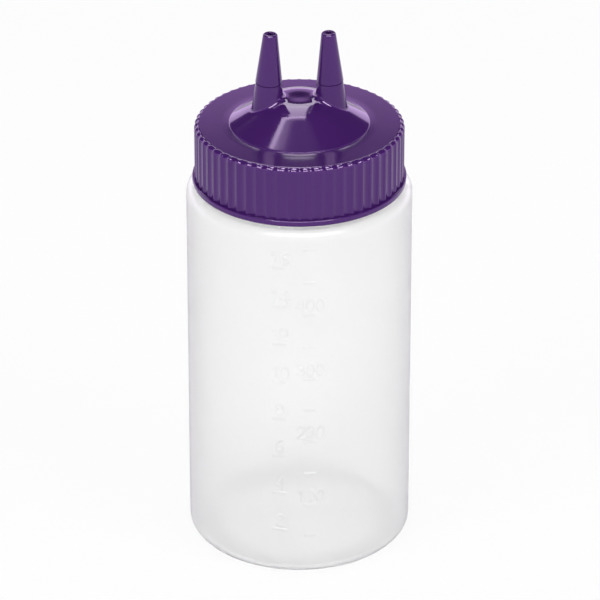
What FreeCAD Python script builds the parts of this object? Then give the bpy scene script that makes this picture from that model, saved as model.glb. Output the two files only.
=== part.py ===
import FreeCAD, Part
import math
import os
from FreeCAD import Rotation, Vector

# A wide-mouth squeeze bottle with a twin-spout screw cap, in millimetres.
# The origin is the middle of the base, +Z is up and the scale marks face -Y.
# The bottle is a blow-moulded shell, the cap is a single moulding with a spout on each side, and a flat
# ring between the bottle's lip and the cap seals the mouth.

# Bottle body
body_diameter = 75.0
body_wall = 1.0
base_thickness = 1.2
heel_round = 4.5
standing_ring_width = 4.0
push_up_height = 2.3
push_up_run = 6.0
push_up_round = 3.0
shoulder_height = 130.25
shoulder_width = 6.9
shoulder_round = 4.0
shoulder_thickness = 1.4

# Bottle neck
neck_wall = 1.8
neck_height = 17.75
neck_root_round = 1.0
neck_bore_round = 2.5
lip_round = 0.5

# Screw thread of the neck and the cap
thread_pitch = 6.35
thread_depth = 1.1
thread_flank = 0.8
thread_foot_lift = 5.25
thread_top_drop = 3.0
neck_thread_crest = 1.4
cap_thread_crest = 0.9
thread_radial_clearance = 0.3
thread_axial_clearance = 0.35

# Scale marks on the front of the body, every 50 millilitres and every 2 ounces; turns are in degrees
front_turn = -90.0
millilitre_pitch = 12.0
millilitre_turn = 2.0
millilitre_mark_length = 4.2
ounce_pitch = 14.15
ounce_turn = -13.3
ounce_mark_length = 5.1
mark_width = 0.8
mark_relief = 0.2

# Sealing ring
seal_thickness = 1.5
seal_overhang = 1.2
seal_clearance = 0.4
seal_round = 0.2

# Cap skirt and flat rim
skirt_wall = 2.7
skirt_lift = 0.7
skirt_lead = 0.8
rim_wall = 2.0
rim_width = 11.5
rim_round = 1.6
flute_pitch = 3.62
flute_ridge = 0.5
flute_depth = 0.45
flute_edge_round = 0.2
bead_height = 2.05
bead_reach = 0.8
bead_round = 0.5

# Plug rim under the cap, with a small catch that keeps the sealing ring in
plug_reach = 2.5
plug_wall = 1.5
plug_clearance = 0.3
plug_round = 0.4
catch_reach = 0.6
catch_height = 0.9
catch_clearance = 0.15

# Cone in the middle of the cap
cone_step = 0.45
cone_edge_round = 0.2
cone_height = 9.35
cone_top_diameter = 17.7
cone_top_round = 16.0
cone_wall = 1.9

# Spouts
spout_tip_height = 32.4
spout_tip_spacing = 19.0
spout_lean = 1.8
spout_tip_diameter = 4.7
spout_tip_round = 0.7
spout_line_diameter = 8.85
spout_line_lift = 5.9
spout_line_step = 0.2
spout_root_diameter = 11.2
spout_root_round = 1.2
spout_wall = 1.4
orifice_diameter = 2.2
orifice_length = 3.0

# How far a raised feature is sunk into the wall that carries it
sink = 0.4
# How far a cutting shape runs past the faces that it cuts
overrun = 1.0
# Points nearer than this are one point
closeness = 1.0e-6

# Sizes that follow from the ones above
axis = Vector(0, 0, 1)
body_radius = body_diameter / 2
inner_radius = body_radius - body_wall
floor_height = push_up_height + base_thickness
neck_radius = body_radius - shoulder_width
bore_radius = neck_radius - neck_wall
lip_height = shoulder_height + neck_height
thread_rise = neck_height - thread_foot_lift - thread_top_drop
cap_underside = lip_height + seal_thickness
rim_height = cap_underside + rim_wall
skirt_foot = shoulder_height + skirt_lift
skirt_bore = neck_radius + thread_depth + thread_radial_clearance
skirt_radius = skirt_bore + skirt_wall
seal_bore = bore_radius - seal_overhang
plug_radius = seal_bore - plug_clearance
plug_bore = plug_radius - plug_wall
cone_radius = skirt_radius - rim_width
cone_foot = rim_height + cone_step
cone_top = rim_height + cone_height
cone_slope = (cone_top - cone_foot) / (cone_radius - cone_top_diameter / 2)
cone_drop = cone_wall * math.hypot(1, cone_slope)
spout_line_drop = spout_tip_height - cone_height - spout_line_lift


def rounded_face(corners):
    """A flat face in the XZ plane through corners given as (radius, height, rounding)."""
    points = [Vector(radius, 0, height) for radius, height, rounding in corners]
    stretches = []
    for index, (radius, height, rounding) in enumerate(corners):
        corner = points[index]
        if not rounding:
            stretches.append((corner, corner, None))
            continue
        back = (points[index - 1] - corner).normalize()
        onward = (points[(index + 1) % len(points)] - corner).normalize()
        half_angle = back.getAngle(onward) / 2
        reach = rounding / math.tan(half_angle)
        inward = (back + onward).normalize()
        middle = corner + inward * (rounding / math.sin(half_angle) - rounding)
        stretches.append((corner + back * reach, corner + onward * reach, middle))
    edges = []
    for index, (first, last, middle) in enumerate(stretches):
        if middle:
            edges.append(Part.Arc(first, middle, last).toShape())
        following = stretches[(index + 1) % len(stretches)][0]
        if not last.isEqual(following, closeness):
            edges.append(Part.makeLine(last, following))
    return Part.Face(Part.Wire(edges))


def turned(corners):
    """A solid of revolution about the Z axis."""
    return rounded_face(corners).revolve(Vector(0, 0, 0), axis, 360)


def direction(turn):
    """The level direction at a turn in radians from +X."""
    return Vector(math.cos(turn), math.sin(turn), 0)


def thread(root, crest, height, crest_width):
    """A right-hand ridge from root to crest radius with round ends, its first turn starting at height."""
    outward = math.copysign(1, crest - root)
    sunk = root - outward * sink
    crest_half = crest_width / 2
    sunk_half = crest_half + thread_flank * (thread_depth + sink) / thread_depth
    section = Part.makePolygon([
        Vector(sunk, 0, -sunk_half),
        Vector(crest, 0, -crest_half),
        Vector(crest, 0, crest_half),
        Vector(sunk, 0, sunk_half),
        Vector(sunk, 0, -sunk_half),
    ])
    path = Part.makeHelix(thread_pitch, thread_rise, root)
    ridge = Part.Wire(path.Edges).makePipeShell([section], True, True)
    ends = []
    for lift in (0, thread_rise):
        toward = direction(2 * math.pi * lift / thread_pitch)
        base = toward * sunk + axis * lift
        ends.append(Part.makeCone(sunk_half, crest_half, thread_depth + sink, base, toward * outward))
    ridge = ridge.fuse(ends)
    ridge.translate(axis * height)
    return ridge


def scale_mark(height, turn, length):
    """A raised bar that follows the body's wall, its middle at the given height and turn."""
    inside = body_radius - sink
    outside = body_radius + mark_relief
    low = height - mark_width / 2
    high = height + mark_width / 2
    section = rounded_face([(inside, low, 0), (outside, low, 0), (outside, high, 0), (inside, high, 0)])
    span = math.degrees(length / body_radius)
    bar = section.revolve(Vector(0, 0, 0), axis, span)
    bar.rotate(Vector(0, 0, 0), axis, front_turn + turn - span / 2)
    return bar


def scale_marks():
    """Both scales, counted up from the inside of the base to the shoulder."""
    room = shoulder_height - shoulder_round - mark_width - floor_height
    scales = (
        (millilitre_pitch, millilitre_turn, millilitre_mark_length),
        (ounce_pitch, ounce_turn, ounce_mark_length),
    )
    marks = []
    for pitch, turn, length in scales:
        for number in range(1, int(room / pitch) + 1):
            marks.append(scale_mark(floor_height + number * pitch, turn, length))
    return marks


def bottle():
    """The blown shell with its push-up base, shoulder, threaded neck and scale marks."""
    ring_radius = body_radius - heel_round - standing_ring_width
    push_up_radius = ring_radius - push_up_run
    ceiling = shoulder_height - shoulder_thickness
    shell = turned([
        (0, push_up_height, 0),
        (push_up_radius, push_up_height, push_up_round),
        (ring_radius, 0, push_up_round),
        (body_radius, 0, heel_round),
        (body_radius, shoulder_height, shoulder_round),
        (neck_radius, shoulder_height, neck_root_round),
        (neck_radius, lip_height, lip_round),
        (bore_radius, lip_height, lip_round),
        (bore_radius, ceiling, neck_bore_round),
        (inner_radius, ceiling, shoulder_round - body_wall),
        (inner_radius, base_thickness, heel_round - body_wall),
        (ring_radius, base_thickness, push_up_round),
        (push_up_radius, floor_height, push_up_round),
        (0, floor_height, 0),
    ])
    neck_crest = neck_radius + thread_depth
    neck_thread = thread(neck_radius, neck_crest, shoulder_height + thread_foot_lift, neck_thread_crest)
    return shell.fuse([neck_thread] + scale_marks())


def sealing_ring():
    """The flat ring that lies on the bottle's lip, inside the cap's skirt."""
    outside = skirt_bore - seal_clearance
    return turned([
        (seal_bore, lip_height, seal_round),
        (outside, lip_height, seal_round),
        (outside, cap_underside, seal_round),
        (seal_bore, cap_underside, seal_round),
    ])


def rounding_middle(centre, first, last):
    """The middle of a flute's edge rounding about a centre, between its two ends."""
    return centre + (first + last - centre * 2).normalize() * flute_edge_round


def flute_waste():
    """The ring of material outside the fluted skirt: hollow flutes side by side with narrow round ridges."""
    count = round(2 * math.pi * skirt_radius / flute_pitch)
    pitch_turn = 2 * math.pi / count
    half_width = (skirt_radius * pitch_turn - flute_ridge) / 2
    hollow = (flute_depth ** 2 + half_width ** 2) / (2 * flute_depth)
    hollow_centre = skirt_radius - flute_depth + hollow
    edge_centre = skirt_radius - flute_edge_round
    across = hollow_centre ** 2 + edge_centre ** 2 - (hollow + flute_edge_round) ** 2
    edge_turn = math.acos(across / (2 * hollow_centre * edge_centre))
    edges = []
    for number in range(count):
        turn = number * pitch_turn
        centre = direction(turn) * hollow_centre
        bottom = direction(turn) * (skirt_radius - flute_depth)
        before = direction(turn - edge_turn) * edge_centre
        after = direction(turn + edge_turn) * edge_centre
        enter = direction(turn - edge_turn) * skirt_radius
        leave = direction(turn + edge_turn) * skirt_radius
        into = before + (centre - before).normalize() * flute_edge_round
        out = after + (centre - after).normalize() * flute_edge_round
        crest = direction(turn + pitch_turn / 2) * skirt_radius
        enter_next = direction(turn + pitch_turn - edge_turn) * skirt_radius
        edges.append(Part.Arc(enter, rounding_middle(before, enter, into), into).toShape())
        edges.append(Part.Arc(into, bottom, out).toShape())
        edges.append(Part.Arc(out, rounding_middle(after, out, leave), leave).toShape())
        edges.append(Part.Arc(leave, crest, enter_next).toShape())
    kept = Part.Face(Part.Wire(edges))
    around = Part.Face(Part.Wire(Part.makeCircle(skirt_radius + bead_reach + overrun)))
    bead_top = skirt_foot + bead_height
    waste = around.cut(kept).extrude(axis * (rim_height + overrun - bead_top))
    waste.translate(axis * bead_top)
    return waste


def spout_length():
    """From a spout's tip down to the middle of the cone's wall at the spout's outer side."""
    lean = math.radians(spout_lean)
    outermost = (spout_tip_spacing + spout_root_diameter) / 2 + spout_tip_height * math.tan(lean)
    root_height = cone_foot + (cone_radius - outermost) * cone_slope - cone_drop / 2
    return (rim_height + spout_tip_height - root_height) / math.cos(lean)


def spout_placed(shape, side):
    """A spout's shape, made upright with its tip at the origin, leaned inward on its side of the cap."""
    shape.rotate(Vector(0, 0, 0), Vector(0, 1, 0), -side * spout_lean)
    shape.translate(Vector(side * spout_tip_spacing / 2, 0, rim_height + spout_tip_height))
    return shape


def spout(side):
    """The outside of a spout: two tapers that meet at a fine step, and a rounded tip."""
    line_radius = spout_line_diameter / 2
    return spout_placed(turned([
        (0, -spout_length(), 0),
        (spout_root_diameter / 2, -spout_length(), 0),
        (line_radius - spout_line_step, -spout_line_drop, 0),
        (line_radius, -spout_line_drop, 0),
        (spout_tip_diameter / 2, 0, spout_tip_round),
        (0, 0, 0),
    ]), side)


def spout_bore(side):
    """The way through a spout: a taper that narrows to the orifice."""
    orifice_radius = orifice_diameter / 2
    root_bore = spout_root_diameter / 2 - spout_wall
    line_bore = spout_line_diameter / 2 - spout_wall
    foot = -spout_length() - cone_drop
    return spout_placed(turned([
        (0, foot, 0),
        (root_bore, foot, 0),
        (root_bore, -spout_length(), 0),
        (line_bore, -spout_line_drop, 0),
        (orifice_radius, -orifice_length, 0),
        (orifice_radius, overrun, 0),
        (0, overrun, 0),
    ]), side)


def spout_roots(form):
    """The edges where the spouts meet the cone."""
    roots = []
    for edge in form.Edges:
        box = edge.BoundBox
        beside = abs(box.Center.x) > spout_tip_diameter
        on_cone = box.ZMin > cone_foot and box.ZMax < cone_top + closeness
        if beside and on_cone and box.YLength > closeness and edge.Curve.TypeId != "Part::GeomLine":
            roots.append(edge)
    return roots


def cap_outside():
    """The cap's outer form with its spouts, filleted where they meet the cone."""
    bead_radius = skirt_radius + bead_reach
    bead_top = skirt_foot + bead_height
    form = turned([
        (0, skirt_foot, 0),
        (bead_radius, skirt_foot, bead_round),
        (bead_radius, bead_top, bead_round),
        (skirt_radius, bead_top, 0),
        (skirt_radius, rim_height, rim_round),
        (cone_radius, rim_height, cone_edge_round),
        (cone_radius, cone_foot, cone_edge_round),
        (cone_top_diameter / 2, cone_top, cone_top_round),
        (0, cone_top, 0),
    ])
    form = form.fuse([spout(side) for side in (-1, 1)])
    return form.makeFillet(spout_root_round, spout_roots(form))


def cap_hollow():
    """The room inside the cap: the skirt's bore with its lead-in, and the space under the cone."""
    hollow_top = cone_top - cone_wall
    hollow_top_radius = cone_radius - (hollow_top - cone_foot + cone_drop) / cone_slope
    hollow_foot_radius = min(plug_bore, cone_radius - (cap_underside - cone_foot + cone_drop) / cone_slope)
    hollow_foot = cone_foot + (cone_radius - hollow_foot_radius) * cone_slope - cone_drop
    return turned([
        (0, skirt_foot - overrun, 0),
        (skirt_bore + skirt_lead, skirt_foot - overrun, 0),
        (skirt_bore + skirt_lead, skirt_foot, 0),
        (skirt_bore, skirt_foot + skirt_lead, 0),
        (skirt_bore, cap_underside, 0),
        (hollow_foot_radius, cap_underside, 0),
        (hollow_foot_radius, hollow_foot, 0),
        (hollow_top_radius, hollow_top, 0),
        (0, hollow_top, 0),
    ])


def plug_rim():
    """The rim that stands in the bottle's mouth, with the catch below the sealing ring."""
    foot = lip_height - plug_reach
    catch_top = lip_height - catch_clearance
    catch_radius = plug_radius + catch_reach
    return turned([
        (plug_bore, foot, plug_round),
        (plug_radius, foot, plug_round),
        (plug_radius, catch_top - catch_height, 0),
        (catch_radius, catch_top - catch_height / 2, 0),
        (catch_radius, catch_top, 0),
        (plug_radius, catch_top, 0),
        (plug_radius, cap_underside + sink, 0),
        (plug_bore, cap_underside + sink, 0),
    ])


def cap_thread():
    """The inner thread, just under the neck's thread when the cap is tight."""
    flanks = thread_flank * (1 - thread_radial_clearance / thread_depth)
    drop = (neck_thread_crest + cap_thread_crest) / 2 + flanks + thread_axial_clearance
    height = shoulder_height + thread_foot_lift - drop
    return thread(skirt_bore, skirt_bore - thread_depth, height, cap_thread_crest)


def cap():
    """The whole cap: outer form, flutes, hollow, spout bores, plug rim and inner thread."""
    form = cap_outside().cut([flute_waste(), cap_hollow()])
    form = form.cut([spout_bore(side) for side in (-1, 1)])
    return form.fuse([plug_rim(), cap_thread()])


os.makedirs("parts", exist_ok=True)
for name, make in (("bottle", bottle), ("sealing_ring", sealing_ring), ("cap", cap)):
    shape = make()
    print(name, len(shape.Solids), shape.isValid(), round(shape.Volume, 1))
    shape.Solids[0].exportStep(f"parts/{name}.step")
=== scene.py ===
import math

import bpy
import numpy as np
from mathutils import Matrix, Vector
from mathutils.geometry import delaunay_2d_cdt


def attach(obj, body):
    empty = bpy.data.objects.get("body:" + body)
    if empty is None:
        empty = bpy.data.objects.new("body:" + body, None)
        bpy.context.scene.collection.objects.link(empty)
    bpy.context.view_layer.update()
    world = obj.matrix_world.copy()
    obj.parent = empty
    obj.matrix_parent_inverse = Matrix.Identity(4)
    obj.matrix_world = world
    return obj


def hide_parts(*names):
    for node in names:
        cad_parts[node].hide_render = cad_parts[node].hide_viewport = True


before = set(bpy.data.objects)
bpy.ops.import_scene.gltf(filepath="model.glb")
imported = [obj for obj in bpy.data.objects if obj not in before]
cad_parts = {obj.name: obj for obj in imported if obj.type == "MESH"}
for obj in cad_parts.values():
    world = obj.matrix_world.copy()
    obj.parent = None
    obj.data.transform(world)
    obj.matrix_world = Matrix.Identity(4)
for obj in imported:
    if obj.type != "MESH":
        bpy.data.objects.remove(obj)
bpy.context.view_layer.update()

# Bottle
# One blow-moulded shell of milky polyethylene, about a millimetre thick, that light comes through softly.
# The mould leaves a shallow push-up in the base, a fine parting line down each side, and both scales as
# low raised strokes on the front. The wide neck carries a right-hand thread for the cap.
mm = 0.001  # in metres; the sizes below are in millimetres, and turns in degrees
body_radius = 37.5
body_wall = 1.0
heel_round = 4.5
shoulder_height = 130.25
shoulder_round = 4.0
neck_radius = 30.6
bore_radius = 28.8
lip_height = 148.0
wall_top = shoulder_height - shoulder_round
floor_height = 3.5


def rounded_line(corners, turn_step=9.0):
    """Points (radius, height) along straight runs and round the corners between them.

    A corner is a radius, a height and a rounding, which is drawn in steps of about turn_step degrees.
    """
    points = []
    for index, (radius, height, rounding) in enumerate(corners):
        corner = np.array((radius, height))
        if not rounding:
            points.append(corner)
            continue
        back = np.array(corners[index - 1][:2]) - corner
        onward = np.array(corners[index + 1][:2]) - corner
        back /= np.linalg.norm(back)
        onward /= np.linalg.norm(onward)
        half_angle = math.acos(np.clip(back @ onward, -1, 1)) / 2
        middle = (back + onward) / np.linalg.norm(back + onward)
        centre = corner + middle * rounding / math.sin(half_angle)
        reach = rounding / math.tan(half_angle)
        first = corner + back * reach - centre
        last = corner + onward * reach - centre
        sweep = math.pi - 2 * half_angle
        steps = max(2, round(math.degrees(sweep) / turn_step))
        for step in range(steps + 1):
            part = step / steps
            arm = first * math.sin((1 - part) * sweep) + last * math.sin(part * sweep)
            points.append(centre + arm / math.sin(sweep))
    return np.array(points)


def divided(line, spacing):
    """The same line with points added so that no run is longer than the spacing."""
    points = [line[0]]
    for start, end in zip(line[:-1], line[1:]):
        count = max(1, math.ceil(np.linalg.norm(end - start) / spacing - 1e-6))
        points.extend(start + (end - start) * step / count for step in range(1, count + 1))
    return np.array(points)


def soft_step(value):
    value = np.clip(value, 0, 1)
    return value * value * (3 - 2 * value)


def stroke_distance(across, up, stroke):
    """How far each point lies from a stroke, which is a line through points."""
    nearest = np.full(across.shape, np.inf)
    for (x0, y0), (x1, y1) in zip(stroke[:-1], stroke[1:]):
        run_x, run_y = x1 - x0, y1 - y0
        along = ((across - x0) * run_x + (up - y0) * run_y) / (run_x ** 2 + run_y ** 2)
        along = np.clip(along, 0, 1)
        nearest = np.minimum(nearest, np.hypot(across - x0 - along * run_x, up - y0 - along * run_y))
    return nearest


def bow(centre_x, centre_y, reach_x, reach_y, first, last):
    """Points of a digit's curved stroke, between two turns in degrees."""
    steps = max(4, round(abs(last - first) / 24))
    turns = np.radians(np.linspace(first, last, steps + 1))
    return [(centre_x + reach_x * math.cos(turn), centre_y + reach_y * math.sin(turn)) for turn in turns]


# Digits drawn with one or two strokes in a box 0.62 wide and 1 high.
digit_strokes = {
    "0": [bow(0.31, 0.5, 0.29, 0.5, 0, 360)],
    "1": [[(0.12, 0.8), (0.36, 1.0), (0.36, 0.0)]],
    "2": [bow(0.31, 0.71, 0.28, 0.29, 170, -38) + [(0.03, 0.0), (0.6, 0.0)]],
    "3": [bow(0.28, 0.75, 0.26, 0.25, 155, -85) + bow(0.28, 0.26, 0.31, 0.26, 85, -155)],
    "4": [[(0.46, 0.0), (0.46, 1.0), (0.0, 0.3), (0.62, 0.3)]],
    "5": [[(0.56, 1.0), (0.12, 1.0), (0.07, 0.54)] + bow(0.29, 0.31, 0.3, 0.31, 120, -150)],
    "6": [bow(0.31, 0.3, 0.29, 0.3, 0, 360), bow(0.56, 0.42, 0.54, 0.58, 100, 195)],
    "8": [bow(0.31, 0.76, 0.24, 0.24, 0, 360), bow(0.31, 0.27, 0.3, 0.27, 0, 360)],
}
digit_height = 4.2
digit_advance = 3.15
digit_space = 0.55  # between two digits, and left out after the last
number_gap = 1.5
tick_end = 0.4  # how far the round end of a stroke reaches past its last point
tick_extra = 0.05  # how much bolder the ticks are than the digits
stroke_half = 0.48
stroke_edge = 0.24  # the width over which a stroke falls off to the wall
mark_relief = 0.25
scales = (
    # pitch up the wall, turn from the front, tick length,
    # turn of the numbers, step between numbers, number per tick
    (12.0, 2.0, 4.2, 2.6, 2, 50),
    (14.15, -13.3, 5.1, -13.0, 1, 2),
)


def scale_relief(turn, height):
    """How far the ticks and numbers stand out from the wall, softened as blow moulding leaves them."""
    across = np.radians(turn) * body_radius
    nearest = np.full(across.shape, np.inf)
    for pitch, tick_turn, tick_length, number_turn, number_step, per_tick in scales:
        count = int((wall_top - floor_height) / pitch)
        middle = math.radians(tick_turn) * body_radius
        half_tick = tick_length / 2 - tick_end
        for tick in range(1, count + 1):
            level = floor_height + tick * pitch
            ends = [(middle - half_tick, level), (middle + half_tick, level)]
            nearest = np.minimum(nearest, stroke_distance(across, height, ends) - tick_extra)
            foot = level + number_gap
            if tick % number_step or foot + digit_height > wall_top:
                continue
            number = str(tick * per_tick)
            width = len(number) * digit_advance - digit_space
            left = math.radians(number_turn) * body_radius - width / 2
            near = (height > level) & (height < foot + digit_height + number_gap)
            for place, digit in enumerate(number):
                start = left + place * digit_advance
                for stroke in digit_strokes[digit]:
                    line = [(start + x * digit_height, foot + y * digit_height) for x, y in stroke]
                    found = stroke_distance(across[near], height[near], line)
                    nearest[near] = np.minimum(nearest[near], found)
    return mark_relief * soft_step((stroke_half - nearest) / stroke_edge)


thread_pitch = 6.35
thread_depth = 1.1
thread_rise = 9.5
thread_flank = 0.9
thread_turn = 90.0


def thread_relief(turn, height, start, crest_half):
    """How far a thread stands out: one and a half turns, right-handed, with round ends."""
    full = 360 * thread_rise / thread_pitch
    relief = np.zeros(turn.shape)
    for lap in (-1, 0, 1, 2):
        along = (turn - thread_turn) % 360 + 360 * lap
        held = np.clip(along, 0, full)
        past = np.radians(along - held) * neck_radius
        rise = height - start - thread_pitch * held / 360
        inside = crest_half + thread_flank - np.hypot(rise, past)
        relief = np.maximum(relief, soft_step(inside / thread_flank))
    return thread_depth * relief


parting_height = 0.07
parting_half = 0.7


def parting_relief(turn):
    """A fine ridge where the two halves of the mould met, at the left and the right."""
    return parting_height * soft_step(1 - np.abs(np.abs(turn) - 90) / parting_half)


# Columns round the bottle: fine in the window with the scales, coarse elsewhere, and a few more
# at the parting lines.
window_left = -20.0
window_right = 12.0
window_turns = np.arange(window_left, window_right + 0.01, 0.34)
coarse_turns = np.arange(-180.0, 180.0, 2.0)
plain_turns = coarse_turns[(coarse_turns < window_left - 0.5) | (coarse_turns > window_right + 0.5)]
seam_turns = np.add.outer((-90, 90), parting_half * np.array((-1, -0.5, 0.5, 1))).ravel()
turns = np.sort(np.concatenate((plain_turns, window_turns, seam_turns)))
in_window = (turns > window_left - 0.1) & (turns < window_right + 0.1)

# Outlines from the middle of the base up to the shoulder, over the lip, and down inside to the floor.
push_up = 2.3
push_up_radius = 23.0
push_up_round = 3.0
ring_radius = 29.0
foot_wall = 1.2
shoulder_wall = 1.4
neck_root_round = 1.0
bore_root_round = 2.5
lip_round = 0.5
lip_band = 2.0
ceiling = shoulder_height - shoulder_wall
inner_radius = body_radius - body_wall
outer_foot = divided(rounded_line([
    (0, push_up, 0), (push_up_radius, push_up, push_up_round), (ring_radius, 0, push_up_round),
    (body_radius, 0, heel_round), (body_radius, wall_top, 0),
], 7.5)[:-1], 1.6)
shoulder_line = rounded_line([
    (body_radius, heel_round, 0), (body_radius, shoulder_height, shoulder_round),
    (neck_radius, shoulder_height, neck_root_round), (neck_radius, lip_height - lip_band, 0),
], 6.0)[1:]
neck_line = divided(shoulder_line[-2:], 0.4)[1:]
lip_line = rounded_line([
    (neck_radius, shoulder_height, 0), (neck_radius, lip_height, lip_round),
    (bore_radius, lip_height, lip_round), (bore_radius, shoulder_height, 0),
], 18.0)[1:-1]
inner_line = divided(rounded_line([
    (bore_radius, lip_height, 0), (bore_radius, ceiling, bore_root_round),
    (inner_radius, ceiling, shoulder_round - body_wall),
    (inner_radius, foot_wall, heel_round - body_wall), (ring_radius, foot_wall, push_up_round),
    (push_up_radius, floor_height, push_up_round), (0, floor_height, 0),
], 9.0)[1:], 15.0)
upper_lines = np.concatenate((shoulder_line[:-1], neck_line, lip_line, inner_line))
column_count = len(turns)
vertices = []
faces = []


def add_ring(vertices, turns, radius, height):
    """Adds a ring of points, one for each turn from the front in degrees, and returns their numbers."""
    angle = np.radians(turns)
    radius = np.broadcast_to(radius, angle.shape)
    height = np.broadcast_to(height, angle.shape)
    vertices.extend(zip(radius * np.sin(angle), -radius * np.cos(angle), height))
    return list(range(len(vertices) - len(turns), len(vertices)))


def add_band(faces, lower, upper):
    """Joins two rings by a band of faces; one may have several times as many points as the other."""
    count = min(len(lower), len(upper))
    for column in range(count):
        sides = []
        for ring in (lower, upper):
            each = len(ring) // count
            sides.append([ring[(column * each + step) % len(ring)] for step in range(each + 1)])
        faces.append((*sides[0], *reversed(sides[1])))


def moulding(name, vertices, faces):
    """An object from points in millimetres, smooth but for its sharp corners."""
    mesh = bpy.data.meshes.new(name)
    mesh.from_pydata((np.array(vertices) * mm).tolist(), [], faces)
    mesh.shade_smooth()
    mesh.set_sharp_from_angle(angle=math.radians(40))
    piece = bpy.data.objects.new(name, mesh)
    bpy.context.scene.collection.objects.link(piece)
    return piece


# The base, from its middle out to the heel, with the pinched-off seam across it.
pinch_depth = 0.35
pinch_half = 0.9
pinch_reach = 21.0
vertices.append((0, 0, push_up - pinch_depth))
ring = None
for radius, height in np.insert(outer_foot[1:], 0, (pinch_half / 2, push_up), axis=0):
    across_seam = np.abs(radius * np.cos(np.radians(turns)))
    pinch = pinch_depth * soft_step(1 - across_seam / pinch_half) * (radius < pinch_reach)
    upright = soft_step((height - 1.0) / 3.0) if radius > body_radius - heel_round else 0
    following = add_ring(vertices, turns, radius + parting_relief(turns) * upright, height - pinch)
    if ring is None:
        faces.extend((0, following[(c + 1) % column_count], following[c]) for c in range(column_count))
    else:
        add_band(faces, ring, following)
    ring = following

# The straight wall, fine where the scales are and coarse elsewhere.
dense_rows = np.linspace(heel_round, wall_top, 481)
coarse_every = 16
wall_grid = np.empty((len(dense_rows), column_count), dtype=object)
wall_grid[0] = ring
for row, level in enumerate(dense_rows[1:], start=1):
    every = row % coarse_every == 0
    radius = body_radius + parting_relief(turns)
    radius[in_window] += scale_relief(turns[in_window], np.full(in_window.sum(), level))
    for column, turn in enumerate(np.radians(turns)):
        if every or in_window[column]:
            wall_grid[row, column] = len(vertices)
            out = radius[column]
            vertices.append((out * math.sin(turn), -out * math.cos(turn), level))
for row in range(len(dense_rows) - 1):
    for column in range(column_count):
        after = (column + 1) % column_count
        if in_window[column] and in_window[after]:
            faces.append((wall_grid[row, column], wall_grid[row, after],
                          wall_grid[row + 1, after], wall_grid[row + 1, column]))
for row in range(0, len(dense_rows) - 1, coarse_every):
    top = row + coarse_every
    for column in range(column_count):
        after = (column + 1) % column_count
        if in_window[column] and in_window[after]:
            continue
        right_side = wall_grid[row:top + 1, after] if in_window[after] else wall_grid[[row, top], after]
        left_side = wall_grid[row:top + 1, column] if in_window[column] else wall_grid[[row, top], column]
        faces.append((*right_side, *left_side[::-1]))
ring = list(wall_grid[-1])

# The shoulder, the threaded neck, the lip, and the inside down to the middle of the floor.
neck_thread_start = 135.5
neck_crest_half = 0.65
for index, (radius, height) in enumerate(upper_lines[1:]):
    if radius < 1e-6:
        break
    out = np.full(column_count, radius)
    if abs(radius - neck_radius) < 0.02 and height < lip_height - lip_band / 2:
        out = out + thread_relief(turns, height, neck_thread_start, neck_crest_half)
    upright = height < shoulder_height - shoulder_round / 2 and radius > body_radius - body_wall / 2
    following = add_ring(vertices, turns, out + parting_relief(turns) * upright, height)
    if index + 1 == len(upper_lines) - len(inner_line):
        first_inside_face = len(faces)
    add_band(faces, ring, following)
    ring = following
vertices.append((0, 0, floor_height))
faces.extend((ring[c], ring[(c + 1) % column_count], len(vertices) - 1) for c in range(column_count))

bottle = moulding("bottle_shell", vertices, faces)


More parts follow.
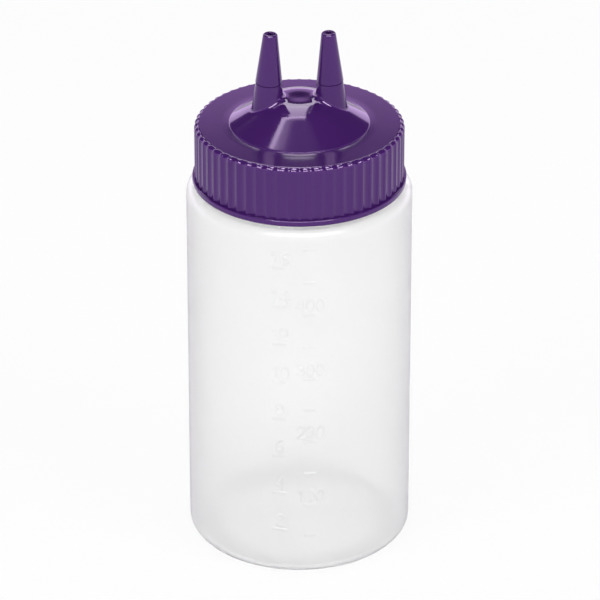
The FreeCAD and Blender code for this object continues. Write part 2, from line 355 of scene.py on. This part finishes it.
def milky_plastic(name, smoothest, roughest):
    """The milky plastic, frosted by the mould outside and smooth inside, where only air touched it."""
    milky = bpy.data.materials.new(name)
    milky.use_nodes = True
    nodes = milky.node_tree.nodes
    links = milky.node_tree.links
    shader = nodes["Principled BSDF"]
    shader.inputs["IOR"].default_value = 1.38
    shader.inputs["Transmission Weight"].default_value = 0.9
    shader.inputs["Specular IOR Level"].default_value = 0.3
    place = nodes.new("ShaderNodeTexCoord")
    cloud = nodes.new("ShaderNodeTexNoise")
    cloud.inputs["Scale"].default_value = 60.0
    cloud.inputs["Detail"].default_value = 3.0
    links.new(place.outputs["Object"], cloud.inputs["Vector"])
    milk = nodes.new("ShaderNodeValToRGB")
    milk.color_ramp.elements[0].position = 0.3
    milk.color_ramp.elements[0].color = (0.985, 0.985, 0.987, 1)
    milk.color_ramp.elements[1].position = 0.7
    milk.color_ramp.elements[1].color = (1, 1, 1, 1)
    links.new(cloud.outputs["Fac"], milk.inputs["Fac"])
    # Painted shade round the standing ring of the base, where the heel sits in its contact shadow;
    # the plastic is also thickest there and lets less light through.
    spot = nodes.new("ShaderNodeSeparateXYZ")
    links.new(place.outputs["Object"], spot.inputs["Vector"])
    low = nodes.new("ShaderNodeMapRange")
    low.interpolation_type = "SMOOTHSTEP"
    low.inputs["From Min"].default_value = 6 * mm
    low.inputs["From Max"].default_value = 4 * mm
    links.new(spot.outputs["Z"], low.inputs["Value"])
    level = nodes.new("ShaderNodeVectorMath")
    level.operation = "MULTIPLY"
    level.inputs[1].default_value = (1, 1, 0)
    links.new(place.outputs["Object"], level.inputs[0])
    from_axis = nodes.new("ShaderNodeVectorMath")
    from_axis.operation = "LENGTH"
    links.new(level.outputs["Vector"], from_axis.inputs[0])
    across_ring = nodes.new("ShaderNodeMapRange")
    across_ring.inputs["From Min"].default_value = 24 * mm
    across_ring.inputs["From Max"].default_value = 36 * mm
    links.new(from_axis.outputs["Value"], across_ring.inputs["Value"])
    ring_shade_tone = nodes.new("ShaderNodeValToRGB")
    ring_shade_tone.color_ramp.interpolation = "EASE"
    ring_shade_tone.color_ramp.elements[0].color = (1, 1, 1, 1)
    ring_shade_tone.color_ramp.elements[1].color = (1, 1, 1, 1)
    # The darkest stop is painted shade.
    thickest_and_shadiest = ring_shade_tone.color_ramp.elements.new(0.72)
    thickest_and_shadiest.color = (0.84, 0.84, 0.843, 1)
    links.new(across_ring.outputs["Result"], ring_shade_tone.inputs["Fac"])
    thick_and_shaded = nodes.new("ShaderNodeMix")
    thick_and_shaded.data_type = "RGBA"
    thick_and_shaded.blend_type = "MULTIPLY"
    links.new(low.outputs["Result"], thick_and_shaded.inputs["Factor"])
    links.new(milk.outputs["Color"], thick_and_shaded.inputs["A"])
    links.new(ring_shade_tone.outputs["Color"], thick_and_shaded.inputs["B"])
    # Painted shade: the raised scale marks are coloured a little darker to bring out their relief;
    # they are also a little thicker than the wall round them.
    raised = nodes.new("ShaderNodeMapRange")
    raised.inputs["From Min"].default_value = (body_radius + 0.08) * mm
    raised.inputs["From Max"].default_value = (body_radius + 0.2) * mm
    links.new(from_axis.outputs["Value"], raised.inputs["Value"])
    mark_shade_tone = nodes.new("ShaderNodeMix")
    mark_shade_tone.data_type = "RGBA"
    mark_shade_tone.blend_type = "MULTIPLY"
    mark_shade_tone.inputs["B"].default_value = (0.94, 0.94, 0.942, 1)
    links.new(raised.outputs["Result"], mark_shade_tone.inputs["Factor"])
    links.new(thick_and_shaded.outputs["Result"], mark_shade_tone.inputs["A"])
    links.new(mark_shade_tone.outputs["Result"], shader.inputs["Base Color"])
    frost = nodes.new("ShaderNodeTexNoise")
    frost.inputs["Scale"].default_value = 900.0
    frost.inputs["Detail"].default_value = 2.0
    links.new(place.outputs["Object"], frost.inputs["Vector"])
    sheen = nodes.new("ShaderNodeMapRange")
    sheen.inputs["To Min"].default_value = smoothest
    sheen.inputs["To Max"].default_value = roughest
    links.new(frost.outputs["Fac"], sheen.inputs["Value"])
    links.new(sheen.outputs["Result"], shader.inputs["Roughness"])
    grain = nodes.new("ShaderNodeBump")
    grain.inputs["Strength"].default_value = 0.12
    grain.inputs["Distance"].default_value = 0.0001
    links.new(frost.outputs["Fac"], grain.inputs["Height"])
    links.new(grain.outputs["Normal"], shader.inputs["Normal"])
    return milky


bottle.data.materials.append(milky_plastic("frosted_polyethylene", 0.28, 0.3))
bottle.data.materials.append(milky_plastic("smooth_polyethylene", 0.08, 0.12))
for face in range(first_inside_face, len(faces)):
    bottle.data.polygons[face].material_index = 1
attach(bottle, "bottle")
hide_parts("bottle")

# Sealing ring
# A flat ring of soft, closed-cell foam rubber, die-cut and pressed over the plug rim inside the cap.
# It lies on the bottle's lip, out of sight while the cap is on.
ring_rubber = bpy.data.materials.new("soft_seal")
ring_rubber.use_nodes = True
nodes = ring_rubber.node_tree.nodes
links = ring_rubber.node_tree.links
shader = nodes["Principled BSDF"]
shader.inputs["Roughness"].default_value = 0.75
place = nodes.new("ShaderNodeTexCoord")
cells = nodes.new("ShaderNodeTexVoronoi")
cells.inputs["Scale"].default_value = 1800.0
links.new(place.outputs["Object"], cells.inputs["Vector"])
tone = nodes.new("ShaderNodeValToRGB")
tone.color_ramp.elements[0].color = (0.5, 0.49, 0.46, 1)
tone.color_ramp.elements[1].color = (0.68, 0.67, 0.64, 1)
links.new(cells.outputs["Distance"], tone.inputs["Fac"])
links.new(tone.outputs["Color"], shader.inputs["Base Color"])
pits = nodes.new("ShaderNodeBump")
pits.inputs["Strength"].default_value = 0.3
pits.inputs["Distance"].default_value = 0.0001
links.new(cells.outputs["Distance"], pits.inputs["Height"])
links.new(pits.outputs["Normal"], shader.inputs["Normal"])
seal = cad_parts["sealing_ring"]
seal.data.materials.clear()
seal.data.materials.append(ring_rubber)

# Cap
# One injection-moulded piece of glossy purple polypropylene: the fluted skirt with the bead at its foot,
# the flat rim, the cone and both spouts. It screws onto the neck, with its thread inside the skirt, and a
# plug rim under the cone carries the sealing ring.
skirt_foot = 130.95
bead_top = 133.0
bead_radius = 35.5
bead_round = 0.5
skirt_radius = 34.7
skirt_bore = 32.0
skirt_lead = 0.8
rim_height = 151.5
rim_round = 1.6
underside = 149.5
flute_count = 60
flute_depth = 0.45
flute_half_share = 0.43
ridge_softness = 0.1


def flute_relief(turn):
    """How deep the hollow flutes are; a narrow rounded ridge stands between each two of them."""
    from_middle = np.abs((turn * flute_count / 360 + 0.5) % 1 - 0.5)
    hollow = 1 - (from_middle / flute_half_share) ** 2
    return flute_depth * (hollow + np.hypot(hollow, ridge_softness)) / 2


half_flute = np.array([0, 0.12, 0.24, 0.33, 0.39, 0.43, 0.47])
one_flute = np.concatenate((-half_flute[:0:-1], half_flute, [0.5]))
flute_turns = 360 / flute_count * np.add.outer(np.arange(flute_count), one_flute).ravel()
smooth_turns = flute_turns[::4]
vertices = []
faces = []

# The bead, the flutes up the skirt and over its rounded edge, and the flat rim.
bead_line = rounded_line([
    (skirt_bore + skirt_lead, skirt_foot, 0), (bead_radius, skirt_foot, bead_round),
    (bead_radius, bead_top, bead_round), (skirt_radius, bead_top, 0),
], 15.0)[:-1]
rings = [add_ring(vertices, smooth_turns, radius, height) for radius, height in bead_line]
hollows = flute_relief(flute_turns)
edge_foot = rim_height - rim_round
edge_radius = skirt_radius - rim_round
edge_margin = 0.3
for height in (bead_top, edge_foot - edge_margin):
    rings.append(add_ring(vertices, flute_turns, skirt_radius - hollows, height))
for tilt in np.radians(np.arange(90.0, -0.1, -7.5)):
    rounding = rim_round - hollows * soft_step(tilt / math.radians(35))
    out = edge_radius + rounding * math.sin(tilt)
    rings.append(add_ring(vertices, flute_turns, out, edge_foot + rounding * math.cos(tilt)))
rings.append(add_ring(vertices, flute_turns, edge_radius - edge_margin, rim_height))

# The cone, with a fine step at its foot, a broad round crown and a slight sink in the middle.
cone_radius = 23.2
cone_foot = 151.95
cone_top = 160.85
crown_corner = 8.85
crown_round = 16.0
crown_sink = 0.1
step_round = 0.2
cone_slope = (cone_top - cone_foot) / (cone_radius - crown_corner)
crown_start = crown_corner - crown_round * math.tan(math.atan(cone_slope) / 2)
crown_end = crown_start + crown_round * math.sin(math.atan(cone_slope))


def cone_height(radius):
    """Height of the cone's outside."""
    side = cone_foot + (cone_radius - radius) * cone_slope
    past = np.clip(radius - crown_start, 0, crown_round)
    crown = cone_top - crown_round + np.sqrt(crown_round ** 2 - past ** 2)
    return np.where(radius > crown_end, side, crown) - crown_sink * soft_step(1 - radius / crown_start)


flat_margin = 1.2
cone_start = cone_radius - 2 * step_round
step_line = rounded_line([
    (edge_radius - flat_margin, rim_height, 0), (cone_radius, rim_height, step_round),
    (cone_radius, cone_foot, step_round), (cone_start, float(cone_height(cone_start)), 0),
], 20.0)
for radius, height in divided(step_line, 3.0):
    rings.append(add_ring(vertices, smooth_turns, radius, height))
satin_faces = []
for lower, upper in zip(rings[:-1], rings[1:]):
    first_face = len(faces)
    add_band(faces, lower, upper)
    if vertices[lower[0]][2] == vertices[upper[0]][2] == rim_height:
        satin_faces += range(first_face, len(faces))
cap_foot_ring = rings[0]
cone_ring = rings[-1]

# The spouts: two tapers that meet at a fine groove, a rounded tip and a bore that narrows to the orifice.
cone_wall = 1.9
cone_drop = cone_wall * math.hypot(1, cone_slope)
hollow_top = cone_top - cone_wall
tip_height = rim_height + 32.4
tip_offset = 9.5
spout_lean = math.radians(1.8)
tip_radius = 2.35
tip_round = 0.7
line_radius = 4.425
line_drop = 17.15
root_radius = 5.6
root_drop = 28.94
root_round = 1.9
orifice_radius = 1.1
orifice_round = 0.15
orifice_length = 3.0
spout_wall = 1.4
groove_inset = 0.15
groove_foot = 0.5
# Inset from the upper taper and drop below the line, from the foot of the groove up to the line.
groove_corners = ((0.1, groove_foot), (0.12, 0.42), (0.42, 0.36), (0.4, 0.02), (0, 0))
spout_columns = np.linspace(0, 2 * math.pi, 72, endpoint=False)


def hollow_height(radius):
    """Height of the cone's inside."""
    return np.minimum(hollow_top, cone_foot + (cone_radius - radius) * cone_slope - cone_drop)


def add_loop(vertices, points):
    """Adds points and returns their numbers."""
    vertices.extend(map(tuple, points))
    return list(range(len(vertices) - len(points), len(vertices)))


def unit(vectors):
    return vectors / np.linalg.norm(vectors, axis=1, keepdims=True)


def add_spout(side):
    """Adds a spout, from its fillet on the cone over the tip and down the bore, and returns both ends."""
    tip = np.array((side * tip_offset, 0, tip_height))
    down = np.array((side * math.sin(spout_lean), 0, -math.cos(spout_lean)))
    right = np.array((math.cos(spout_lean), 0, side * math.sin(spout_lean)))
    outward = np.outer(np.cos(spout_columns), right) + np.outer(np.sin(spout_columns), (0, 1, 0))

    def on_wall(drop, radius):
        drop = np.broadcast_to(drop, spout_columns.shape)
        radius = np.broadcast_to(radius, spout_columns.shape)
        return tip + np.outer(drop, down) + outward * radius[:, None]

    def on_taper(drop, wall):
        """Points on the lower taper of a wall, given by its radii at the line and at the root."""
        at_line, at_root = wall
        share = np.clip((drop - line_drop) / (root_drop - line_drop), 0, 1)
        return on_wall(drop, at_line + (at_root - at_line) * share)

    def drop_to(surface, wall):
        """How far below the tip each line down a wall meets a surface of the cone."""
        above = np.full(spout_columns.shape, line_drop)
        below = np.full(spout_columns.shape, root_drop + 3.0)
        for halving in range(40):
            middle = (above + below) / 2
            points = on_taper(middle, wall)
            clear = points[:, 2] > surface(np.hypot(points[:, 0], points[:, 1]))
            above = np.where(clear, middle, above)
            below = np.where(clear, below, middle)
        return above

    outside = (line_radius - groove_inset, root_radius)
    root = drop_to(cone_height, outside)
    corner = on_taper(root, outside)
    up_wall = unit(on_taper(root - 0.5, outside) - corner)
    along = corner + 0.3 * unit(outward * (1, 1, 0))
    along[:, 2] = cone_height(np.hypot(along[:, 0], along[:, 1]))
    down_cone = unit(along - corner)
    half_angle = np.arccos(np.sum(up_wall * down_cone, axis=1, keepdims=True)) / 2
    reach = root_round / np.tan(half_angle)
    centre = corner + unit(up_wall + down_cone) * root_round / np.sin(half_angle)
    sweep = math.pi - 2 * half_angle
    loops = []
    for share in np.linspace(0, 1, 10):
        arm = (corner + down_cone * reach - centre) * np.sin((1 - share) * sweep)
        arm += (corner + up_wall * reach - centre) * np.sin(share * sweep)
        points = centre + arm / np.sin(sweep)
        if share == 0:
            points[:, 2] = cone_height(np.hypot(points[:, 0], points[:, 1]))
        loops.append(add_loop(vertices, points))
    fillet_top = root - reach[:, 0]
    for share in np.linspace(0.2, 0.8, 4):
        drop = fillet_top + (line_drop + groove_foot - fillet_top) * share
        loops.append(add_loop(vertices, on_taper(drop, outside)))
    outline = rounded_line([
        *((line_radius - inset, -line_drop - below, 0) for inset, below in groove_corners),
        (tip_radius, 0, tip_round), (orifice_radius, 0, orifice_round),
        (orifice_radius, -orifice_length, 0), (line_radius - spout_wall, -line_drop, 0),
    ], 12.0)
    for radius, height in divided(outline, 1.5):
        loops.append(add_loop(vertices, on_wall(-height, radius)))
    bore = (line_radius - spout_wall, root_radius - spout_wall)
    loops.append(add_loop(vertices, on_taper(drop_to(hollow_height, bore), bore)))
    for lower, upper in zip(loops[:-1], loops[1:]):
        add_band(faces, lower, upper)
    return loops[0], loops[-1]


def fill_round(rim, holes, surface, spacing):
    """Triangles, seen from above, that fill a round surface from its rim to the holes in it."""
    flat = np.array(vertices)[:, :2]
    outlines = []
    for hole in holes:
        middle = flat[hole].mean(axis=0)
        arms = flat[hole] - middle
        outlines.append((middle, np.arctan2(arms[:, 1], arms[:, 0]), np.hypot(arms[:, 0], arms[:, 1])))

    def clear_of_holes(points, margin):
        clear = np.ones(len(points), dtype=bool)
        for middle, turns, reach in outlines:
            arms = points - middle
            edge = np.interp(np.arctan2(arms[:, 1], arms[:, 0]), turns, reach, period=2 * math.pi)
            clear &= np.hypot(arms[:, 0], arms[:, 1]) > edge + margin
        return clear

    numbers = list(rim) + [number for hole in holes for number in hole]
    rim_radius = np.hypot(*flat[rim[0]])
    for index, radius in enumerate(np.arange(rim_radius - spacing, 0, -spacing)):
        around = 2 * math.pi * (np.arange(round(2 * math.pi * radius / spacing)) + index % 2 / 2)
        around /= max(1, len(around))
        heights = surface(np.full(len(around), radius))
        points = np.stack((radius * np.cos(around), radius * np.sin(around), heights), 1)
        numbers += add_loop(vertices, points[clear_of_holes(points[:, :2], spacing / 2)])
    numbers += add_loop(vertices, [(0, 0, float(surface(np.zeros(1))[0]))])
    place = {number: index for index, number in enumerate(numbers)}
    borders = [(place[a], place[b]) for loop in (rim, *holes) for a, b in zip(loop, loop[1:] + loop[:1])]
    flat = [Vector(vertices[number][:2]) for number in numbers]
    corners, _, triangles, sources, _, _ = delaunay_2d_cdt(flat, borders, [], 0, 1e-7)
    middles = np.array([
        [sum(corners[corner][axis] for corner in triangle) / 3 for axis in (0, 1)]
        for triangle in triangles
    ])
    return [
        tuple(numbers[sources[corner][0]] for corner in triangle)
        for triangle, kept in zip(triangles, clear_of_holes(middles, 0)) if kept
    ]


roots, bores = zip(*(add_spout(side) for side in (-1, 1)))
faces += fill_round(cone_ring, roots, cone_height, 0.7)

# Inside: the hollow cone, the plug rim with its catch, and the threaded bore of the skirt.
plug_bore = 25.8
plug_radius = 27.3
catch_radius = 27.9
plug_foot = 145.5
catch_top = 147.85
catch_edge = 0.45
plug_round = 0.4
cap_thread_start = 133.42
cap_crest_half = 0.4
cap_thread_top = 145.0
thread_row = 0.35
hollow_radius = cone_radius - (underside - cone_foot + cone_drop) / cone_slope
hollow_rim = hollow_radius - 0.8
inside_line = rounded_line([
    (hollow_rim, float(hollow_height(hollow_rim)), 0), (hollow_radius, underside, 0),
    (plug_bore, underside, 0), (plug_bore, plug_foot, plug_round), (plug_radius, plug_foot, plug_round),
    (plug_radius, catch_top - 2 * catch_edge, 0), (catch_radius, catch_top - catch_edge, 0),
    (catch_radius, catch_top, 0), (plug_radius, catch_top, 0), (plug_radius, underside, 0),
    (skirt_bore, underside, 0),
], 30.0)
rings = [add_ring(vertices, smooth_turns, radius, height) for radius, height in inside_line]
faces += [face[::-1] for face in fill_round(rings[0], bores, hollow_height, 1.0)]
for height in np.arange(cap_thread_top, skirt_foot + skirt_lead - 0.01, -thread_row):
    relief = thread_relief(smooth_turns, height, cap_thread_start, cap_crest_half)
    rings.append(add_ring(vertices, smooth_turns, skirt_bore - relief, height))
rings.append(cap_foot_ring)
for lower, upper in zip(rings[:-1], rings[1:]):
    add_band(faces, lower, upper)
cap = moulding("cap_moulding", vertices, faces)


def purple_plastic(name, smoothest, roughest):
    """The dyed plastic with its faint flow marks, as glossy or satin as the mould left it."""
    plastic = bpy.data.materials.new(name)
    plastic.use_nodes = True
    nodes = plastic.node_tree.nodes
    links = plastic.node_tree.links
    shader = nodes["Principled BSDF"]
    shader.inputs["IOR"].default_value = 1.5
    shader.inputs["Specular Tint"].default_value = (0.9, 0.68, 1.0, 1)
    place = nodes.new("ShaderNodeTexCoord")
    swirl = nodes.new("ShaderNodeTexNoise")
    swirl.inputs["Scale"].default_value = 45.0
    swirl.inputs["Detail"].default_value = 4.0
    links.new(place.outputs["Object"], swirl.inputs["Vector"])
    dye = nodes.new("ShaderNodeValToRGB")
    dye.color_ramp.elements[0].position = 0.3
    dye.color_ramp.elements[0].color = (0.0425, 0.0098, 0.097, 1)
    dye.color_ramp.elements[1].position = 0.7
    dye.color_ramp.elements[1].color = (0.0465, 0.0112, 0.105, 1)
    links.new(swirl.outputs["Fac"], dye.inputs["Fac"])
    links.new(dye.outputs["Color"], shader.inputs["Base Color"])
    polish = nodes.new("ShaderNodeMapRange")
    polish.inputs["To Min"].default_value = smoothest
    polish.inputs["To Max"].default_value = roughest
    links.new(swirl.outputs["Fac"], polish.inputs["Value"])
    links.new(polish.outputs["Result"], shader.inputs["Roughness"])
    return plastic


cap.data.materials.append(purple_plastic("glossy_purple", 0.07, 0.12))
cap.data.materials.append(purple_plastic("satin_purple", 0.12, 0.16))
for face in satin_faces:
    cap.data.polygons[face].material_index = 1
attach(cap, "cap")
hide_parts("cap")

# Floor
# A wide sheet of white studio board under the bottle, seen as plain white apart from the soft contact
# shadow. It lies a tenth of a millimetre low, so that the bottle's standing ring isn't in the same plane.
floor_reach = 6.0
floor_gap = 0.1


def flat_sheet(name, corners):
    """A sheet with four corners in metres, as an object for the stage."""
    mesh = bpy.data.meshes.new(name)
    mesh.from_pydata(corners, [], [(0, 1, 2, 3)])
    sheet = bpy.data.objects.new(name, mesh)
    bpy.context.scene.collection.objects.link(sheet)
    return sheet


def painted_reflection_tint(nodes, links, seen, tint):
    """White, but tinted for rays that were mirrored and didn't come through the plastic: a painted
    reflection colour.
    """
    mirrored_ray = nodes.new("ShaderNodeMath")
    mirrored_ray.operation = "SUBTRACT"
    mirrored_ray.use_clamp = True
    links.new(seen.outputs["Is Glossy Ray"], mirrored_ray.inputs[0])
    links.new(seen.outputs["Is Transmission Ray"], mirrored_ray.inputs[1])
    tone = nodes.new("ShaderNodeMix")
    tone.data_type = "RGBA"
    tone.inputs["A"].default_value = (1, 1, 1, 1)
    tone.inputs["B"].default_value = tint
    links.new(mirrored_ray.outputs["Value"], tone.inputs["Factor"])
    return tone.outputs["Result"]


floor = flat_sheet("floor", [
    (-floor_reach, -floor_reach, 0), (floor_reach, -floor_reach, 0),
    (floor_reach, floor_reach, 0), (-floor_reach, floor_reach, 0),
])
floor.location.z = -floor_gap * mm
board = bpy.data.materials.new("white_board")
board.use_nodes = True
nodes = board.node_tree.nodes
links = board.node_tree.links
shader = nodes["Principled BSDF"]
shader.inputs["Base Color"].default_value = (0.93, 0.93, 0.93, 1)
shader.inputs["Roughness"].default_value = 0.9
shader.inputs["Specular IOR Level"].default_value = 0.0
seen = nodes.new("ShaderNodeLightPath")
looked_at = nodes.new("ShaderNodeMath")
looked_at.operation = "MULTIPLY"
looked_at.inputs[1].default_value = 0.88
links.new(seen.outputs["Is Camera Ray"], looked_at.inputs[0])
share = nodes.new("ShaderNodeMath")
share.operation = "MULTIPLY_ADD"
share.inputs[1].default_value = 0.8
links.new(seen.outputs["Is Glossy Ray"], share.inputs[0])
links.new(looked_at.outputs["Value"], share.inputs[2])
# Painted light: seen through the plastic, the board under the bottle glows brighter, in place of light
# coming down through it.
place = nodes.new("ShaderNodeTexCoord")
from_axis = nodes.new("ShaderNodeVectorMath")
from_axis.operation = "LENGTH"
links.new(place.outputs["Object"], from_axis.inputs[0])
painted_glow_under = nodes.new("ShaderNodeMapRange")
painted_glow_under.interpolation_type = "SMOOTHSTEP"
painted_glow_under.inputs["From Min"].default_value = 30 * mm
painted_glow_under.inputs["From Max"].default_value = 45 * mm
painted_glow_under.inputs["To Min"].default_value = -0.1
painted_glow_under.inputs["To Max"].default_value = -0.34
links.new(from_axis.outputs["Value"], painted_glow_under.inputs["Value"])
through_share = nodes.new("ShaderNodeMath")
through_share.operation = "MULTIPLY_ADD"
links.new(seen.outputs["Is Transmission Ray"], through_share.inputs[0])
links.new(painted_glow_under.outputs["Result"], through_share.inputs[1])
links.new(share.outputs["Value"], through_share.inputs[2])
through_share.use_clamp = True
white = nodes.new("ShaderNodeEmission")
white.inputs["Strength"].default_value = 1.0
# Painted reflection: mirrored rays see the board lilac, which tints the cap's reflections of it.
links.new(painted_reflection_tint(nodes, links, seen, (0.95, 0.87, 1, 1)), white.inputs["Color"])
blend = nodes.new("ShaderNodeMixShader")
links.new(through_share.outputs["Value"], blend.inputs["Fac"])
links.new(shader.outputs["BSDF"], blend.inputs[1])
links.new(white.outputs["Emission"], blend.inputs[2])
links.new(blend.outputs["Shader"], nodes["Material Output"].inputs["Surface"])
floor.data.materials.append(board)

# Card
# A small lilac-lit card behind the bottle, brightest low down, that only shows as the sheen on the cap's
# flat rim.
card_left = -0.055
card_right = 0.085
card_foot = 0.2
card_top = 0.3
card_back = 0.25
card = flat_sheet("card", [
    (card_left, card_back, card_foot), (card_right, card_back, card_foot),
    (card_right, card_back, card_top), (card_left, card_back, card_top),
])
card_face = bpy.data.materials.new("lit_card")
card_face.use_nodes = True
nodes = card_face.node_tree.nodes
links = card_face.node_tree.links
place = nodes.new("ShaderNodeTexCoord")
spot = nodes.new("ShaderNodeSeparateXYZ")
links.new(place.outputs["Object"], spot.inputs["Vector"])
fade = nodes.new("ShaderNodeMapRange")
fade.inputs["From Min"].default_value = 0.255
fade.inputs["From Max"].default_value = 0.29
fade.inputs["To Min"].default_value = 1.6
fade.inputs["To Max"].default_value = 0.05
links.new(spot.outputs["Z"], fade.inputs["Value"])
card_light = nodes.new("ShaderNodeEmission")
card_light.inputs["Color"].default_value = (0.76, 0.46, 1, 1)
links.new(fade.outputs["Result"], card_light.inputs["Strength"])
links.new(card_light.outputs["Emission"], nodes["Material Output"].inputs["Surface"])
card.data.materials.append(card_face)
card.visible_camera = False
card.visible_diffuse = False
card.visible_transmission = False
card.visible_shadow = False

# Light
# A white horizon that ends a little above the floor, and soft panels overhead. Those behind the bottle
# end in a bright edge that fades forward, the three in front sparkle on the flutes, and two side fills
# light the plastic without being mirrored in it.
scene = bpy.context.scene
scene.view_settings.view_transform = "Standard"
world = bpy.data.worlds.new("studio")
scene.world = world
world.use_nodes = True
nodes = world.node_tree.nodes
links = world.node_tree.links
sky = nodes["Background"]
where = nodes.new("ShaderNodeTexCoord")
parts = nodes.new("ShaderNodeSeparateXYZ")
links.new(where.outputs["Generated"], parts.inputs["Vector"])
horizon = nodes.new("ShaderNodeMapRange")
horizon.inputs["From Min"].default_value = 0.22
horizon.inputs["From Max"].default_value = 0.26
horizon.inputs["To Min"].default_value = 2.6
horizon.inputs["To Max"].default_value = 0.05
links.new(parts.outputs["Z"], horizon.inputs["Value"])
seen = nodes.new("ShaderNodeLightPath")
looked_at = nodes.new("ShaderNodeMath")
looked_at.operation = "MAXIMUM"
links.new(seen.outputs["Is Camera Ray"], looked_at.inputs[0])
links.new(seen.outputs["Is Transmission Ray"], looked_at.inputs[1])
ambient = nodes.new("ShaderNodeMath")
ambient.operation = "MULTIPLY_ADD"
ambient.inputs[1].default_value = 0.62
links.new(seen.outputs["Is Diffuse Ray"], ambient.inputs[0])
links.new(looked_at.outputs["Value"], ambient.inputs[2])
brightness = nodes.new("ShaderNodeMath")
brightness.operation = "MAXIMUM"
links.new(horizon.outputs["Result"], brightness.inputs[0])
links.new(ambient.outputs["Value"], brightness.inputs[1])
links.new(brightness.outputs["Value"], sky.inputs["Strength"])
# Painted reflection: mirrored rays see the sky lilac, which tints the cap's reflections.
links.new(painted_reflection_tint(nodes, links, seen, (0.84, 0.62, 1, 1)), sky.inputs["Color"])
light_reach = 1.4
light_target = Vector((0, 0, 0.155))


def soft_panel(name, left, right, front, back, brightness, mirrored):
    """A soft light that covers these angles from straight up, either mirrored or lighting only."""
    across = math.radians((left + right) / 2)
    along = math.radians((front + back) / 2)
    toward = Vector((math.tan(across), math.tan(along), 1)).normalized()
    lamp = bpy.data.lights.new(name, "AREA")
    lamp.shape = "RECTANGLE"
    lamp.size = 2 * light_reach * math.tan(math.radians((right - left) / 2))
    lamp.size_y = 2 * light_reach * math.tan(math.radians((back - front) / 2))
    lamp.energy = brightness * math.pi * lamp.size * lamp.size_y
    panel = bpy.data.objects.new(name, lamp)
    panel.location = light_target + toward * light_reach
    panel.rotation_euler = (-math.asin(toward.y), math.atan2(toward.x, toward.z), 0)
    panel.visible_glossy = mirrored
    panel.visible_diffuse = not mirrored
    panel.visible_transmission = False
    scene.collection.objects.link(panel)


# left, right, front, back, brightness, mirrored
soft_panel("panel_low", -30, 30, 47, 56, 5.0, True)
soft_panel("panel_back", -12, 8, 12, 47, 6.5, True)
soft_panel("panel_edge", -22, 8, 6, 12, 9.5, True)
soft_panel("panel_fade", -22, 8, 2, 6, 2.5, True)
soft_panel("panel_top", -22, 25, -20, 2, 0.35, True)
soft_panel("panel_front", -15, 15, -56, -34, 15.0, True)
soft_panel("panel_front_left", -38, -21, -56, -34, 15.0, True)
soft_panel("panel_front_right", 21, 38, -56, -34, 15.0, True)
soft_panel("fill_left", -66, -42, -60, -36, 4.6, False)
soft_panel("fill_right", 42, 66, -60, -36, 4.6, False)

# Camera
# At the photograph's viewing angle: well back with a long lens, looking down on the cap.
azimuth = math.radians(-3.2)
tilt = math.radians(28.2)
camera_distance = 1.35057
camera_height = 0.80937
camera_data = bpy.data.cameras.new("camera")
camera_data.sensor_width = 36.0
camera_data.lens = 273.6
camera_data.shift_x = 0.001
camera_data.clip_end = 50
camera = bpy.data.objects.new("camera", camera_data)
camera.location = (
    camera_distance * math.sin(azimuth), -camera_distance * math.cos(azimuth), camera_height)
camera.rotation_euler = (math.pi / 2 - tilt, 0, azimuth)
scene.collection.objects.link(camera)
scene.camera = camera
